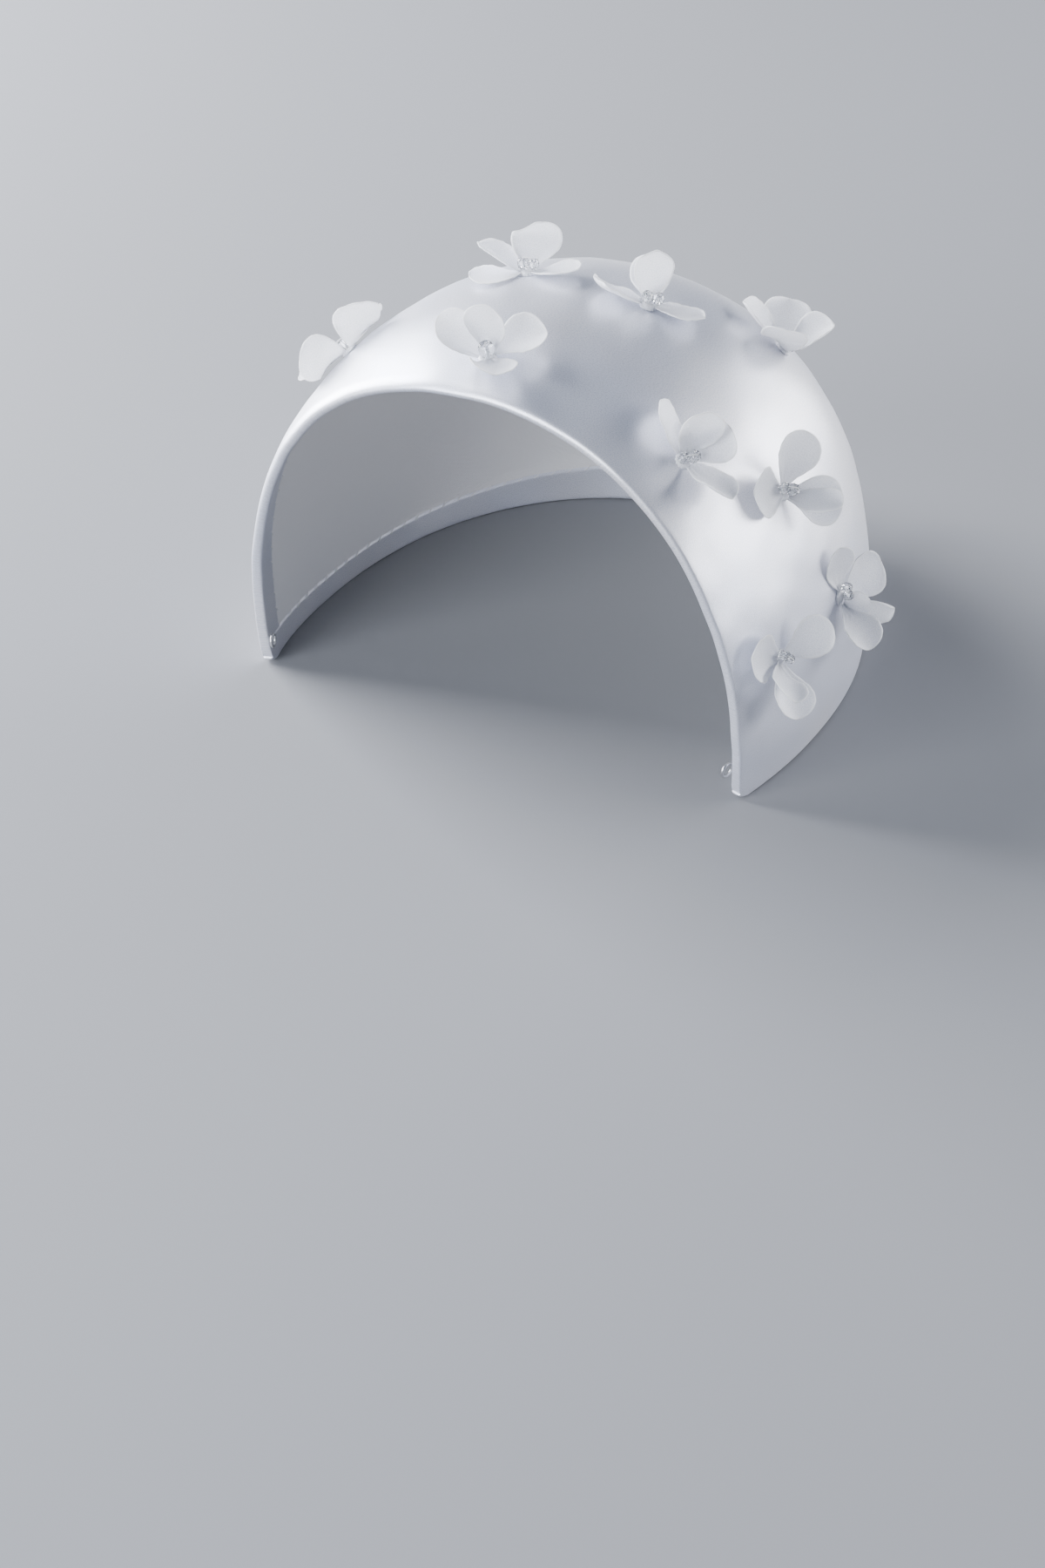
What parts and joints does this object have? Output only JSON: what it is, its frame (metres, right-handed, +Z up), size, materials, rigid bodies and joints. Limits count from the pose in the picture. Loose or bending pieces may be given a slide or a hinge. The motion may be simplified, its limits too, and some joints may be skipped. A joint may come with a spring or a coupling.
{
  "type": "bridal half hat",
  "caption": "Half hat for a bride: a stiff satin-covered shell from ear to ear with a rolled front edge, scattered with four-petalled cloth flowers holding clear glass beads.",
  "frame": {"origin": "on the surface that the hat stands on, under the middle of its whole box", "axes": "+X towards the wearer's left side, -Y towards the wearer's face, +Z up from the level lower edge"},
  "size_m": [0.1858, 0.1514, 0.1205],
  "materials": {
    "satin": "smooth ivory white satin, soft broad sheen",
    "petal": "sheer white cloth with cut, slightly fuzzy edges",
    "bead": "clear polished glass",
    "loop": "plain fine wire"
  },
  "bodies": {
    "root": {"hat_shell": "satin", "blossom_1": "petal", "bead_1_a": "bead", "bead_1_b": "bead", "blossom_2": "petal", "bead_2_a": "bead", "bead_2_b": "bead", "blossom_3": "petal", "bead_3_a": "bead", "blossom_4": "petal", "bead_4_a": "bead", "bead_4_b": "bead", "blossom_5": "petal", "bead_5_a": "bead", "bead_5_b": "bead", "blossom_6": "petal", "bead_6_a": "bead", "bead_6_b": "bead", "blossom_7": "petal", "bead_7_a": "bead", "bead_7_b": "bead", "blossom_8": "petal", "bead_8_a": "bead", "bead_8_b": "bead", "blossom_9": "petal", "bead_9_a": "bead", "bead_9_b": "bead", "blossom_10": "petal", "bead_10_a": "bead", "bead_10_b": "bead", "blossom_11": "petal", "bead_11_a": "bead", "bead_11_b": "bead", "blossom_12": "petal", "bead_12_a": "bead", "bead_12_b": "bead", "blossom_13": "petal", "bead_13_a": "bead", "bead_13_b": "bead", "blossom_14": "petal", "bead_14_a": "bead", "bead_14_b": "bead", "blossom_15": "petal", "bead_15_a": "bead", "bead_15_b": "bead", "tip_loop_left": "loop", "tip_loop_right": "loop"}
  },
  "joints": []
}
